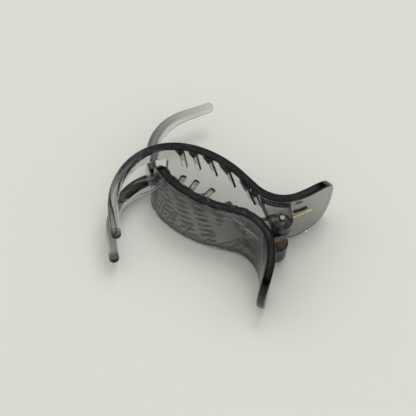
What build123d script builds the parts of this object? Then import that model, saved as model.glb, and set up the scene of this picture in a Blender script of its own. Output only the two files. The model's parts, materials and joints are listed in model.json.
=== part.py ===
from build123d import *

import math
import os

# A ponytail clip: two S-shaped shells, mirror images in plan, that turn on one pin.
# The pin is the Z axis while the pieces are made. The jaws lie towards -X, the thumb handles
# towards +X, and the back shell lies on the +Y side. Lengths are millimetres, angles degrees.
# A place is a length along the middle of the wall in plan, from a start point beside the hinge.
# It is negative towards the jaws and positive towards the handles.

# Shell wall and half widths along the pin
wall = 3.2
rim_round = 0.9
shoulder_half_width = 15.2
waist_half_width = 14.5
handle_half_width = 15.0

# Plan curve of the wall's middle, walked both ways from the start point
start_x = -14.6
start_y = 5.75
start_heading = -16.1
neck_run = 6.4
flank_radius = 38.3
flank_turn = 26.7
shoulder_radius = 25.8
shoulder_turn = 29.8
prong_radius = 21.6
prong_turn = 86.0
prong_end_run = 9.4
valley_radius = 14.6
valley_turn = 69.3
handle_radius = 29.3
handle_turn = 32.6

# Where the body ends at its prongs, and the places where it is narrowest and the handle widest.
# The handle's end is a rounder or squarer oval by its power: 2 is an ellipse.
body_length = 35.9
body_corner = 5.0
waist_at = 10.0
handle_widest_at = 20.3
handle_end_power = 2.35

# Prongs: two on the back shell, and one on the front shell that passes between them.
# The fork's gap is wider on the inner side of the wall than on the outer side.
prong_tip_radius = 1.9
prong_tip_height = 9.0
fork_half_gap_inner = 8.0
fork_half_gap_outer = 5.2
middle_prong_gap = 1.0

# Hinge: ears, pin and spring
ear_radius = 4.0
ear_thickness = 4.3
ear_gap = 0.25
ear_root_start = 1.3
ear_root_end = 14.0
hinge_half_height = 12.9
pin_diameter = 2.0
pin_stand_out = 1.3
pin_bevel = 0.2
pin_clearance = 0.05
coil_diameter = 6.3
wire_diameter = 0.6
coil_end_gap = 0.2
turn_gap = 0.1
leg_clearance = 0.04
back_leg_length = 15.2
front_leg_length = 14.0

# Grip ribs on the inner faces, in two mirrored rows, each with a three-cornered gusset at the rim.
# The reach is the longest gusset's, from the side of its rib. The foot of each gusset lies under
# its bar, at a share of the bar's width.
rib_width = 2.1
rib_height = 0.6
rib_inset = 2.0
gusset_reach = 3.3
gusset_drop = 2.3
gusset_foot_share = 1 / 3

# Low ledge on each handle, beside the seat of the spring's leg
ledge_at = 15.3
ledge_length = 5.2
ledge_width = 0.9
ledge_depth = 0.8
ledge_leg_gap = 2.4

# How far ribs and ledges run into the wall that carries them
foot_sink = 0.5

# One row per rib: the places of its root and its tip as shares of body_length, the height of
# its tip above the middle plane as a share of waist_half_width, and its gusset's share of the reach
RIBS = [
    (-0.858, -0.805, 0.27, 0.45),
    (-0.713, -0.655, 0.34, 0.52),
    (-0.539, -0.462, 0.40, 0.65),
    (-0.312, -0.226, 0.48, 1.0),
    (-0.045, 0.045, 0.48, 0.95),
    (0.055, 0.145, 0.40, 0.3),
]

# Shares of a prong's length that have a section, and those over which each of its measures
# runs from its value at the root to its value at the tip
PRONG_SHARES = (0.0, 0.08, 0.18, 0.32, 0.46, 0.6, 0.74, 0.87, 1.0)
thickness_taper = (0.0, 0.5)
round_taper = (0.1, 0.9)
rim_taper = (0.0, 1.0)
inner_gap_taper = (0.4, 1.0)
outer_gap_taper = (0.25, 0.8)
middle_taper = (0.1, 1.0)

# Sections of round ends, by their angle from the widest section
PRONG_TIP_ANGLES = (30, 55, 78)
HANDLE_TIP_ANGLES = (20, 37, 52, 64, 74, 82)
BODY_CORNER_ANGLES = (80, 62, 42, 20)
body_section_count = 10

# Largest corner round of a section, as a share of half its thickness
round_limit = 0.97


def walk(x, y, heading, radius, length):
    """The point and heading after a left-hand arc, or a straight run where radius is None."""
    if radius is None:
        return x + length * math.cos(heading), y + length * math.sin(heading), heading
    turn = length / radius
    chord = 2 * radius * math.sin(turn / 2)
    middle = heading + turn / 2
    return x + chord * math.cos(middle), y + chord * math.sin(middle), heading + turn


def arc_length(radius, turn):
    """The length of an arc of the given radius and turn."""
    return radius * math.radians(turn)


JAW_STRETCHES = [
    (None, neck_run),
    (flank_radius, arc_length(flank_radius, flank_turn)),
    (shoulder_radius, arc_length(shoulder_radius, shoulder_turn)),
    (prong_radius, arc_length(prong_radius, prong_turn)),
    (None, prong_end_run),
]
HANDLE_STRETCHES = [
    (valley_radius, arc_length(valley_radius, valley_turn)),
    (handle_radius, arc_length(handle_radius, handle_turn)),
]
jaw_end = sum(length for radius, length in JAW_STRETCHES)
handle_end = sum(length for radius, length in HANDLE_STRETCHES)


def plan_point(place):
    """X, Y and the heading of the wall's middle at a place."""
    towards_jaw = place < 0
    stretches = JAW_STRETCHES if towards_jaw else HANDLE_STRETCHES
    heading = math.radians(start_heading + (180 if towards_jaw else 0))
    x = start_x
    y = start_y
    left = abs(place)
    for index, (radius, length) in enumerate(stretches):
        last = index == len(stretches) - 1
        step = left if last else min(left, length)
        x, y, heading = walk(x, y, heading, radius, step)
        left -= step
    if towards_jaw:
        heading += math.pi
    return x, y, heading


def section_plane(place, side):
    """A plane across the wall: X is the outward normal and Y is the pin direction."""
    x, y, heading = plan_point(place)
    outward = Vector(-math.sin(heading), side * math.cos(heading), 0)
    along = Vector(math.cos(heading), side * math.sin(heading), 0)
    return Plane(origin=(x, side * y, 0), x_dir=outward, z_dir=along * side)


def face_plane(place, side):
    """A plane on the wall's inner face: X along the wall, Y the pin direction, Z off the wall."""
    x, y, heading = plan_point(place)
    outward = Vector(-math.sin(heading), side * math.cos(heading), 0)
    along = Vector(math.cos(heading), side * math.sin(heading), 0)
    origin = Vector(x, side * y, 0) - outward * (wall / 2)
    return Plane(origin=origin, x_dir=along * side, z_dir=-outward)


def smooth(value, low, high):
    """A soft step from 0 at low to 1 at high."""
    share = min(1.0, max(0.0, (value - low) / (high - low)))
    return share * share * (3 - 2 * share)


def blend(first, last, share, taper):
    """A measure that runs softly from first to last over a stretch of shares."""
    return first + (last - first) * smooth(share, *taper)


def half_width(place):
    """Half of the plate's width along the pin, before its ends are rounded."""
    if place < waist_at:
        return blend(shoulder_half_width, waist_half_width, place, (-body_length, waist_at))
    return blend(waist_half_width, handle_half_width, place, (waist_at, handle_widest_at))


def plate_section(place, side, half):
    """A rounded rectangle across the wall."""
    round_radius = min(rim_round, round_limit * min(wall / 2, half))
    return section_plane(place, side) * RectangleRounded(wall, 2 * half, round_radius)


def corner_place(angle):
    """The place of a section of the body's rounded front corners."""
    return -body_length + body_corner * (1 - math.sin(math.radians(angle)))


def plate(side, rounded_end):
    """The shield body and the thumb handle of one shell, lofted across its wall."""
    sections = []
    first = -body_length
    if rounded_end:
        first = -body_length + body_corner
        for angle in BODY_CORNER_ANGLES:
            place = corner_place(angle)
            half = half_width(place) - body_corner * (1 - math.cos(math.radians(angle)))
            sections.append(plate_section(place, side, half))
    for step in range(body_section_count + 1):
        place = first + (handle_widest_at - first) * step / body_section_count
        sections.append(plate_section(place, side, half_width(place)))
    tip_length = handle_end - handle_widest_at
    for angle in HANDLE_TIP_ANGLES:
        turn = math.radians(angle)
        place = handle_widest_at + tip_length * math.sin(turn) ** (2 / handle_end_power)
        half = handle_half_width * math.cos(turn) ** (2 / handle_end_power)
        sections.append(plate_section(place, side, half))
    return loft(sections)


def rounded_section(place, side, corners, round_radius):
    """A four-sided section across the wall with rounded corners."""
    outline = Polygon(*corners, align=None)
    return section_plane(place, side) * fillet(outline.vertices(), round_radius)


def prong_place(root, share):
    """The place at a share of the way from a prong's root to the centre of its round tip."""
    return root - share * (jaw_end + root)


def prong_half_thickness(share):
    """Half the prong's thickness in plan, from the wall to the round tip."""
    return blend(wall / 2, prong_tip_radius, share, thickness_taper)


def prong_round(share):
    """Corner radius of a prong's section: the rim's at the root, nearly a circle at the tip."""
    radius = blend(rim_round, round_limit * prong_tip_radius, share, round_taper)
    return min(radius, round_limit * prong_half_thickness(share))


def tip_sections(side, height):
    """Shrinking sections that close a prong in half a ball."""
    sections = []
    for angle in PRONG_TIP_ANGLES:
        half = prong_tip_radius * math.cos(math.radians(angle))
        place = -jaw_end - prong_tip_radius * math.sin(math.radians(angle))
        top = height + half
        bottom = height - half
        corners = [(half, bottom), (half, top), (-half, top), (-half, bottom)]
        sections.append(rounded_section(place, side, corners, round_limit * half))
    return sections


def fork_prong(side, row):
    """One outer prong: its gap face leans, and it narrows to a round tip."""
    sections = []
    tip_top = prong_tip_height + prong_tip_radius
    tip_bottom = prong_tip_height - prong_tip_radius
    for share in PRONG_SHARES:
        half = prong_half_thickness(share)
        top = row * blend(shoulder_half_width, tip_top, share, rim_taper)
        inner = row * blend(fork_half_gap_inner, tip_bottom, share, inner_gap_taper)
        outer = row * blend(fork_half_gap_outer, tip_bottom, share, outer_gap_taper)
        corners = [(half, outer), (half, top), (-half, top), (-half, inner)]
        place = prong_place(-body_length, share)
        sections.append(rounded_section(place, side, corners, prong_round(share)))
    return loft(sections + tip_sections(side, row * prong_tip_height))


def middle_prong(side):
    """The single prong that passes between the two outer ones."""
    sections = []
    root_half_height = fork_half_gap_outer - middle_prong_gap
    for share in PRONG_SHARES:
        half = prong_half_thickness(share)
        high = blend(root_half_height, prong_tip_radius, share, middle_taper)
        corners = [(half, -high), (half, high), (-half, high), (-half, -high)]
        place = prong_place(corner_place(BODY_CORNER_ANGLES[0]), share)
        sections.append(rounded_section(place, side, corners, prong_round(share)))
    return loft(sections + tip_sections(side, 0))


def rib(side, row, root_share, tip_share, height_share, reach_share):
    """One slanted grip rib: a round-ended bar with a gusset at the rim."""
    root_place = root_share * body_length
    tip_place = tip_share * body_length
    middle = (root_place + tip_place) / 2
    root_height = half_width(root_place) - rib_inset
    run = tip_place - root_place
    rise = height_share * waist_half_width - root_height
    bar = Pos(0, root_height + rise / 2) * Rot(0, 0, math.degrees(math.atan2(rise, run)))
    outline = bar * SlotCenterToCenter(math.hypot(run, rise), rib_width)
    bar_side = -(run + rib_width) / 2
    top = root_height + rib_width / 2
    gusset = Polygon(
        (bar_side - gusset_reach * reach_share, top),
        (bar_side + gusset_foot_share * rib_width, root_height - gusset_drop),
        (bar_side + rib_width, top),
        align=None,
    )
    outline = outline + gusset
    if row < 0:
        outline = mirror(outline, about=Plane.XZ)
    if side < 0:
        outline = mirror(outline, about=Plane.YZ)
    solid = extrude(outline, rib_height + foot_sink, dir=(0, 0, 1))
    return face_plane(middle, side) * Pos(0, 0, -foot_sink) * solid


def tangent_touch(x, y, radius, turn_sign):
    """Where a line from a point touches a circle about the pin."""
    distance = math.hypot(x, y)
    angle = math.atan2(y, x) + turn_sign * math.acos(radius / distance)
    return radius * math.cos(angle), radius * math.sin(angle)


def ear(side, low, high):
    """A tongue from the wall's middle to a round nose about the pin, with the pin's bore."""
    left_x, left_y, heading = plan_point(ear_root_start)
    right_x, right_y, heading = plan_point(ear_root_end)
    corners = [
        (left_x, side * left_y),
        tangent_touch(left_x, side * left_y, ear_radius, side),
        tangent_touch(right_x, side * right_y, ear_radius, -side),
        (right_x, side * right_y),
    ]
    if side < 0:
        corners.reverse()
    outline = Polygon(*corners, align=None) + Circle(ear_radius)
    outline = outline - Circle(pin_diameter / 2 + pin_clearance)
    return Pos(0, 0, low) * extrude(outline, high - low)


def ledge(side, leg_height):
    """The low bar on a handle, outside the spring's leg."""
    middle = ledge_at + ledge_length / 2
    row = math.copysign(1, leg_height)
    height = leg_height + row * (wire_diameter / 2 + ledge_leg_gap + ledge_width / 2)
    from_foot = (Align.CENTER, Align.CENTER, Align.MIN)
    bar = Box(ledge_length, ledge_width, ledge_depth + foot_sink, align=from_foot)
    return face_plane(middle, side) * Pos(0, height, -foot_sink) * bar


def tangent_heading(place, radius):
    """Heading of the line that touches the coil's round and the inner face of one arc of the wall."""
    x, y, heading = plan_point(place)
    centre_x = x - radius * math.sin(heading)
    centre_y = y + radius * math.cos(heading)
    wire_radius = wire_diameter / 2
    face_apart = radius + wall / 2 + leg_clearance + wire_radius
    apart = face_apart + coil_diameter / 2 - wire_radius
    share = apart / math.hypot(centre_x, centre_y)
    return math.atan2(centre_y, centre_x) - math.pi / 2 + math.acos(share)


def leg(side, height, length):
    """A straight spring leg, tangent to the coil, that lies along a handle's inner face."""
    valley_end = arc_length(valley_radius, valley_turn)
    heading = min(tangent_heading(0, valley_radius), tangent_heading(valley_end, handle_radius))
    radius = (coil_diameter - wire_diameter) / 2
    touch = (-radius * math.sin(heading), side * radius * math.cos(heading), height)
    along = Vector(math.cos(heading), side * math.sin(heading), 0)
    return extrude(Plane(origin=touch, z_dir=along) * Circle(wire_diameter / 2), length)


def stacked_turns(low, high):
    """Close-wound turns as one sleeve: round outside on every turn, plain inside."""
    turns = max(1, round((high - low) / wire_diameter))
    pitch = (high - low) / turns
    middle = (coil_diameter - wire_diameter) / 2
    core = Rectangle(wire_diameter / 2, high - low, align=(Align.MAX, Align.MIN))
    profile = Pos(middle, low) * core
    for turn in range(turns):
        height = low + (turn + 0.5) * pitch
        profile += Pos(middle, height) * Circle(min(pitch, wire_diameter) / 2)
    return revolve(Plane.XZ * profile, Axis.Z)


# Heights of the stack along the pin
outer_ear_low = hinge_half_height - ear_thickness
inner_ear_high = outer_ear_low - ear_gap
inner_ear_low = inner_ear_high - ear_thickness
coil_half = inner_ear_low - coil_end_gap
back_leg_height = coil_half - wire_diameter / 2
front_leg_height = -back_leg_height
last_turn_high = -coil_half + wire_diameter
coil_low = last_turn_high + turn_gap

# Back shell: two prongs and the outer pair of ears
back_parts = [ledge(1, back_leg_height)]
for row in (1, -1):
    back_parts.append(fork_prong(1, row))
    back_parts.append(ear(1, *sorted((row * outer_ear_low, row * hinge_half_height))))
    back_parts += [rib(1, row, *shares) for shares in RIBS]
back_shell = plate(1, rounded_end=False) + back_parts

# Front shell: one prong and the inner pair of ears
front_parts = [ledge(-1, front_leg_height), middle_prong(-1)]
for row in (1, -1):
    front_parts.append(ear(-1, *sorted((row * inner_ear_low, row * inner_ear_high))))
    front_parts += [rib(-1, row, *shares) for shares in RIBS]
front_shell = plate(-1, rounded_end=True) + front_parts

# The pin, with a small bevel on each end
pin_length = 2 * (hinge_half_height + pin_stand_out)
hinge_pin = Cylinder(pin_diameter / 2, pin_length)
hinge_pin = chamfer(hinge_pin.edges(), pin_bevel)

# Spring: the coil with its back leg, and the last turn with the front leg
spring_coil = stacked_turns(coil_low, coil_half) + leg(1, back_leg_height, back_leg_length)
spring_leg = stacked_turns(-coil_half, last_turn_high)
spring_leg += leg(-1, front_leg_height, front_leg_length)

# The clip's own frame: the middle of the box's lowest face
pieces = {
    "back_shell": back_shell,
    "front_shell": front_shell,
    "hinge_pin": hinge_pin,
    "spring_coil": spring_coil,
    "spring_leg": spring_leg,
}
box = Compound(children=[Compound(piece.solids()) for piece in pieces.values()]).bounding_box()
shift = Vector(-(box.min.X + box.max.X) / 2, -(box.min.Y + box.max.Y) / 2, -box.min.Z)

os.makedirs("parts", exist_ok=True)
for name, piece in pieces.items():
    export_step(Pos(shift) * piece, f"parts/{name}.step")
print("pin at", [round(value, 4) for value in tuple(shift)])
print("box", [round(value, 3) for value in tuple(box.size)])
for name, piece in pieces.items():
    print(name, "solids", len(piece.solids()), "volume", round(piece.volume, 2), "valid", piece.is_valid)
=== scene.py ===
import json
import logging
import math
from dataclasses import dataclass, field
from enum import Enum
from typing import Callable

import bpy
import numpy as np
from mathutils import Matrix, Vector


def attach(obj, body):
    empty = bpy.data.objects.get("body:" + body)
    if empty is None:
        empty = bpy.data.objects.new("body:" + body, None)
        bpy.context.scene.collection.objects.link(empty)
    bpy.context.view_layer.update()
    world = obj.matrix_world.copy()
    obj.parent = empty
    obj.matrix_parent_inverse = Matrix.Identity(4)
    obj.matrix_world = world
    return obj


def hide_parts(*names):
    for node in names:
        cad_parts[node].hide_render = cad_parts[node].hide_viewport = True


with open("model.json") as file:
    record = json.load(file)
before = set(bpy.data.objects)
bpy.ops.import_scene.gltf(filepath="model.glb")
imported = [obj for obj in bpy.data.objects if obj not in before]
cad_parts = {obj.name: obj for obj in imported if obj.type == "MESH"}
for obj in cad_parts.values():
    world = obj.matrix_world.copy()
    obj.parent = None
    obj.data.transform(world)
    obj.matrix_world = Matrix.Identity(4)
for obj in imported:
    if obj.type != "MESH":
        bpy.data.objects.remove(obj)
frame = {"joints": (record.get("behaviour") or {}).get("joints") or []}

Field = Callable[[np.ndarray, np.ndarray, np.ndarray], np.ndarray]
Span = tuple[float, float]
Colour = tuple[float, float, float, float]

LOG = logging.getLogger("ponytail_clip")
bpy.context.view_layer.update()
PIN = Vector(frame["joints"][0]["pos_m"])
MM = 0.001
FINE_CELL = 0.36
ENDLESS_RUN = 1e3
WIDEST_TURN = 2.4
OUT_OF_REACH = 1e9
SHARE_FLOOR = 1e-6
SLOPE_FLOOR = 1e-9


class Side(Enum):
    """The two shells, by the side of the pin that they lie on."""

    BACK = 1
    FRONT = -1


def soft_step(value: np.ndarray, low: float, high: float) -> np.ndarray:
    """A soft step from 0 at low to 1 at high."""
    share = np.clip((value - low) / (high - low), 0.0, 1.0)
    return share * share * (3.0 - 2.0 * share)


def fade(value: np.ndarray, low: float, high: float) -> np.ndarray:
    """A soft step from 1 at low to 0 at high."""
    return 1.0 - soft_step(value, low, high)


def blend(first: float, last: float, share: np.ndarray, taper: Span) -> np.ndarray:
    """A measure that runs softly from first to last over a stretch of shares."""
    return first + (last - first) * soft_step(share, *taper)


def darkest(*shares: np.ndarray) -> np.ndarray:
    """The largest of several shares, point by point."""
    return np.maximum.reduce(np.broadcast_arrays(*shares))


def soft_union(one: np.ndarray, other: np.ndarray, fillet: float) -> np.ndarray:
    """The distance to two joined solids with a moulded fillet between them."""
    share = np.clip(0.5 + 0.5 * (other - one) / fillet, 0.0, 1.0)
    return other + (one - other) * share - fillet * share * (1.0 - share)


def rounded_corner(*sides: np.ndarray, radius: float | np.ndarray) -> np.ndarray:
    """The distance to a solid whose sides meet in rounded edges.

    Args:
        sides: Signed distances to each side, negative inside.
        radius: Radius of the edges where the sides meet.

    Returns:
        Signed distance to the rounded solid.
    """
    moved = [side + radius for side in sides]
    deepest = moved[0]
    outside = np.maximum(moved[0], 0.0) ** 2
    for side in moved[1:]:
        deepest = np.maximum(deepest, side)
        outside = outside + np.maximum(side, 0.0) ** 2
    return np.sqrt(outside) + np.minimum(deepest, 0.0) - radius


def polygon_field(corners: tuple[Span, ...], x: np.ndarray, y: np.ndarray) -> np.ndarray:
    """The distance to a convex polygon, whichever way its corners run.

    Args:
        corners: The polygon's corners.
        x: First coordinate of the points.
        y: Second coordinate of the points.

    Returns:
        Signed distance to the polygon, negative inside.
    """
    pairs = list(zip(corners, corners[1:] + corners[:1]))
    area = sum(ax * by - bx * ay for (ax, ay), (bx, by) in pairs)
    turn = math.copysign(1.0, area)
    sides = []
    for (ax, ay), (bx, by) in pairs:
        length = math.hypot(bx - ax, by - ay)
        sides.append(turn * ((x - ax) * (by - ay) - (y - ay) * (bx - ax)) / length)
    return np.maximum.reduce(sides)


@dataclass(frozen=True)
class Stretch:
    """One arc or straight run of the plan curve; radius is None for a straight run."""

    x: float
    y: float
    heading: float
    radius: float | None
    length: float

    def end(self) -> tuple[float, float, float]:
        """The far end of the stretch.

        Returns:
            X, Y and heading there.
        """
        if self.radius is None:
            x = self.x + self.length * math.cos(self.heading)
            return x, self.y + self.length * math.sin(self.heading), self.heading
        turn = self.length / self.radius
        chord = 2.0 * self.radius * math.sin(turn / 2.0)
        middle = self.heading + turn / 2.0
        return self.x + chord * math.cos(middle), self.y + chord * math.sin(middle), self.heading + turn

    def locate(self, x: np.ndarray, y: np.ndarray, last: bool) -> tuple[np.ndarray, np.ndarray, np.ndarray]:
        """Finds points against this stretch.

        Args:
            x: X of the points.
            y: Y of the points.
            last: Whether the stretch goes on past its end.

        Returns:
            Length along the stretch, distance to its left, and distance to its nearest point.
        """
        along_x = math.cos(self.heading)
        along_y = math.sin(self.heading)
        limit = ENDLESS_RUN if last else self.length
        if self.radius is None:
            run = (x - self.x) * along_x + (y - self.y) * along_y
            left = (y - self.y) * along_x - (x - self.x) * along_y
            kept = np.clip(run, 0.0, limit)
            return kept, left, np.hypot(run - kept, left)
        centre_x = self.x - self.radius * along_y
        centre_y = self.y + self.radius * along_x
        start = math.atan2(self.y - centre_y, self.x - centre_x)
        angle = np.arctan2(y - centre_y, x - centre_x) - start
        angle = (angle + math.pi) % (2.0 * math.pi) - math.pi
        reach = np.hypot(x - centre_x, y - centre_y)
        kept = np.clip(angle, 0.0, min(limit / self.radius, WIDEST_TURN))
        near_x = centre_x + self.radius * np.cos(start + kept)
        near_y = centre_y + self.radius * np.sin(start + kept)
        return kept * self.radius, self.radius - reach, np.hypot(x - near_x, y - near_y)


@dataclass(frozen=True)
class PlanCurve:
    """The middle of a shell's wall seen along the pin, in millimetres and degrees.

    An arc is given by its radius and its turn.
    """

    start_x: float = -14.6
    start_y: float = 5.75
    start_heading: float = -16.1
    neck_run: float = 6.4
    flank: Span = (38.3, 26.7)
    shoulder: Span = (25.8, 29.8)
    prong: Span = (21.6, 86.0)
    prong_end_run: float = 9.4
    valley: Span = (14.6, 69.3)
    handle: Span = (29.3, 32.6)

    def walk(self, heading: float, parts: list[tuple[float | None, float]]) -> list[Stretch]:
        """Lays arcs and straight runs end to end from the start point.

        Args:
            heading: Heading at the start point.
            parts: Radius and turn of each arc, or None and the length of a straight run.

        Returns:
            The stretches in order.
        """
        place = (self.start_x, self.start_y, math.radians(heading))
        stretches = []
        for radius, measure in parts:
            length = measure if radius is None else radius * math.radians(measure)
            stretches.append(Stretch(*place, radius, length))
            place = stretches[-1].end()
        return stretches

    def jaw(self) -> list[Stretch]:
        """The stretches from the start point to the prong's tip."""
        runs = [(None, self.neck_run), self.flank, self.shoulder, self.prong, (None, self.prong_end_run)]
        return self.walk(self.start_heading + 180.0, runs)

    def grip(self) -> list[Stretch]:
        """The stretches from the start point to the handle's tip."""
        return self.walk(self.start_heading, [self.valley, self.handle])

    def jaw_end(self) -> float:
        """Length of the jaw's stretches."""
        return sum(stretch.length for stretch in self.jaw())

    def grip_end(self) -> float:
        """Length of the handle's stretches."""
        return sum(stretch.length for stretch in self.grip())

    def locate(self, x: np.ndarray, y: np.ndarray) -> tuple[np.ndarray, np.ndarray]:
        """Turns plan points into places along the wall and offsets from its middle.

        Args:
            x: X of the points from the pin.
            y: Y of the points from the pin, positive on the shell's own side.

        Returns:
            Place, negative towards the jaws, and offset, positive on the outer side.
        """
        best_gap = np.full(np.broadcast(x, y).shape, OUT_OF_REACH)
        place = np.zeros_like(best_gap)
        offset = np.zeros_like(best_gap)
        for sign, stretches in ((-1.0, self.jaw()), (1.0, self.grip())):
            done = 0.0
            for index, stretch in enumerate(stretches):
                run, left, gap = stretch.locate(x, y, index == len(stretches) - 1)
                closer = gap < best_gap
                best_gap = np.where(closer, gap, best_gap)
                place = np.where(closer, sign * (done + run), place)
                offset = np.where(closer, sign * left, offset)
                done += stretch.length
        return place, offset

    def point(self, place: float) -> tuple[float, float, float]:
        """Finds a point of the wall's middle.

        Args:
            place: Length from the start point, negative towards the jaws.

        Returns:
            X, Y and the heading towards the handle.
        """
        stretches = self.jaw() if place < 0 else self.grip()
        left = abs(place)
        for stretch in stretches[:-1]:
            if left <= stretch.length:
                break
            left -= stretch.length
        else:
            stretch = stretches[-1]
        cut = Stretch(stretch.x, stretch.y, stretch.heading, stretch.radius, left)
        x, y, heading = cut.end()
        return x, y, heading + (math.pi if place < 0 else 0.0)


@dataclass(frozen=True)
class Rib:
    """A slanted grip rib, by shares of the body's length, the waist and the longest gusset."""

    root_share: float
    tip_share: float
    height_share: float
    reach_share: float


@dataclass(frozen=True)
class Hinge:
    """The pin, the ears' stack and the spring, in millimetres."""

    half_height: float = 12.9
    ear_radius: float = 4.0
    ear_thickness: float = 4.3
    ear_gap: float = 0.25
    ear_root_start: float = 1.3
    ear_root_end: float = 14.0
    ear_edge: float = 0.35
    pin_diameter: float = 2.0
    pin_stand_out: float = 1.3
    pin_bevel: float = 0.2
    pin_clearance: float = 0.05
    coil_diameter: float = 6.3
    wire_diameter: float = 0.6
    coil_end_gap: float = 0.2
    turn_gap: float = 0.1
    leg_clearance: float = 0.04
    back_leg_length: float = 15.2
    front_leg_length: float = 14.0

    def ear_span(self, side: Side) -> Span:
        """The levels of a shell's upper ear; the lower ear is its mirror image.

        Args:
            side: The shell.

        Returns:
            Lowest and highest level of the ear.
        """
        if side is Side.BACK:
            return self.half_height - self.ear_thickness, self.half_height
        high = self.half_height - self.ear_thickness - self.ear_gap
        return high - self.ear_thickness, high

    def coil_half(self) -> float:
        """Half the height of the whole spring."""
        return self.ear_span(Side.FRONT)[0] - self.coil_end_gap

    def coil_radius(self) -> float:
        """Radius of the wire's middle in the coil."""
        return (self.coil_diameter - self.wire_diameter) / 2.0


@dataclass(frozen=True)
class ShellForm:
    """The form of a moulded shell as a distance field, in millimetres from the pin's middle.

    A point has a place along the wall, an offset from its middle, a level (its distance from the
    plane that halves the pin), and a height off the inner face.
    """

    side: Side
    plan: PlanCurve = PlanCurve()
    hinge: Hinge = Hinge()
    wall: float = 3.2
    rim_round: float = 0.9
    shoulder_half_width: float = 15.2
    waist_half_width: float = 14.5
    handle_half_width: float = 15.0
    body_length: float = 35.9
    body_corner: float = 5.0
    waist_at: float = 10.0
    handle_widest_at: float = 20.3
    handle_end_power: float = 2.35
    prong_tip_radius: float = 1.9
    prong_tip_height: float = 9.0
    prong_rim_share: float = 0.97
    wall_taper: Span = (0.0, 0.5)
    rim_taper: Span = (0.1, 0.9)
    fork_taper: Span = (0.0, 1.0)
    fork_half_gap_inner: float = 8.0
    fork_half_gap_outer: float = 5.2
    inner_gap_taper: Span = (0.4, 1.0)
    outer_gap_taper: Span = (0.25, 0.8)
    fork_corner: float = 1.2
    middle_prong_gap: float = 1.0
    middle_prong_taper: Span = (0.1, 1.0)
    rib_width: float = 2.1
    rib_height: float = 0.6
    rib_inset: float = 2.0
    rib_edge: float = 0.3
    rib_fillet: float = 0.15
    gusset_edge: float = 0.15
    gusset_reach: float = 3.3
    gusset_drop: float = 2.3
    gusset_foot_share: float = 1 / 3
    ledge_at: float = 15.3
    ledge_length: float = 5.2
    ledge_width: float = 0.9
    ledge_depth: float = 0.8
    ledge_edge: float = 0.2
    ledge_leg_gap: float = 2.4
    foot_sink: float = 0.5
    ear_fillet: float = 0.8
    leaf_width: float = 1.75
    leaf_length: float = 8.0
    leaf_slant: float = 0.3
    leaf_height: float = 0.08
    leaf_skin: float = 0.2
    weave_start: Span = (-35.5, -32.0)
    weave_end: Span = (-7.0, -2.0)
    weave_rim: Span = (11.5, 13.5)
    gate_at: Span = (16.8, 12.4)
    gate_size: Span = (1.2, 0.7)
    gate_edge: Span = (0.7, 1.2)
    gate_depth: float = 0.3
    gate_skin: Span = (-0.6, -0.1)
    box_places: int = 80
    ribs: tuple[Rib, ...] = (
        Rib(-0.858, -0.805, 0.27, 0.45),
        Rib(-0.713, -0.655, 0.34, 0.52),
        Rib(-0.539, -0.462, 0.40, 0.65),
        Rib(-0.312, -0.226, 0.48, 1.0),
        Rib(-0.045, 0.045, 0.48, 0.95),
        Rib(0.055, 0.145, 0.40, 0.3),
    )

    def height(self, offset: np.ndarray) -> np.ndarray:
        """Height off the inner face, negative inside the wall."""
        return -offset - self.wall / 2.0

    def half_width(self, place: np.ndarray) -> np.ndarray:
        """Half of the wall's width along the pin, before its round ends.

        Args:
            place: Places along the wall.

        Returns:
            Half widths in millimetres.
        """
        widths = (self.shoulder_half_width, self.waist_half_width, self.handle_half_width)
        jaw = blend(widths[0], widths[1], place, (-self.body_length, self.waist_at))
        grip = blend(widths[1], widths[2], place, (self.waist_at, self.handle_widest_at))
        return np.where(place < self.waist_at, jaw, grip)

    def prong_share(self, place: np.ndarray) -> np.ndarray:
        """Share of the way from the prongs' root to their tips."""
        return np.clip((-place - self.body_length) / (self.plan.jaw_end() - self.body_length), 0.0, 1.0)

    def handle_outline(self, place: np.ndarray, level: np.ndarray) -> np.ndarray:
        """The distance to the round end of the thumb handle.

        Args:
            place: Places along the wall.
            level: Levels of the points.

        Returns:
            Distance in the wall's own surface, negative inside.
        """
        length = self.plan.grip_end() - self.handle_widest_at
        power = self.handle_end_power
        reach = np.maximum(place - self.handle_widest_at, 0.0) / length
        rise = level / self.handle_half_width
        share = (reach ** power + rise ** power) ** (1.0 / power) + SHARE_FLOOR
        slope = np.hypot(reach ** (power - 1.0) / length, rise ** (power - 1.0) / self.handle_half_width)
        return (share - 1.0) * share ** (power - 1.0) / (slope + SLOPE_FLOOR)

    def fork_outline(self, place: np.ndarray, offset: np.ndarray, level: np.ndarray) -> np.ndarray:
        """The distance to the back shell's outline: a body that is slotted into two prongs.

        Args:
            place: Places along the wall.
            offset: Offsets from the wall's middle.
            level: Levels of the points.

        Returns:
            Distance in the wall's own surface, negative inside.
        """
        share = self.prong_share(place)
        tip_top = self.prong_tip_height + self.prong_tip_radius
        tip_bottom = self.prong_tip_height - self.prong_tip_radius
        top = np.where(
            place < -self.body_length,
            blend(self.shoulder_half_width, tip_top, share, self.fork_taper),
            self.half_width(place),
        )
        inner = blend(self.fork_half_gap_inner, tip_bottom, share, self.inner_gap_taper)
        outer = blend(self.fork_half_gap_outer, tip_bottom, share, self.outer_gap_taper)
        lean = np.clip(offset / self.wall + 0.5, 0.0, 1.0)
        gap = inner + (outer - inner) * lean
        square = self.wall / np.hypot(self.wall, inner - outer)
        slot = rounded_corner(place + self.body_length, (level - gap) * square, radius=self.fork_corner)
        return np.maximum(level - top, -slot)

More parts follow.
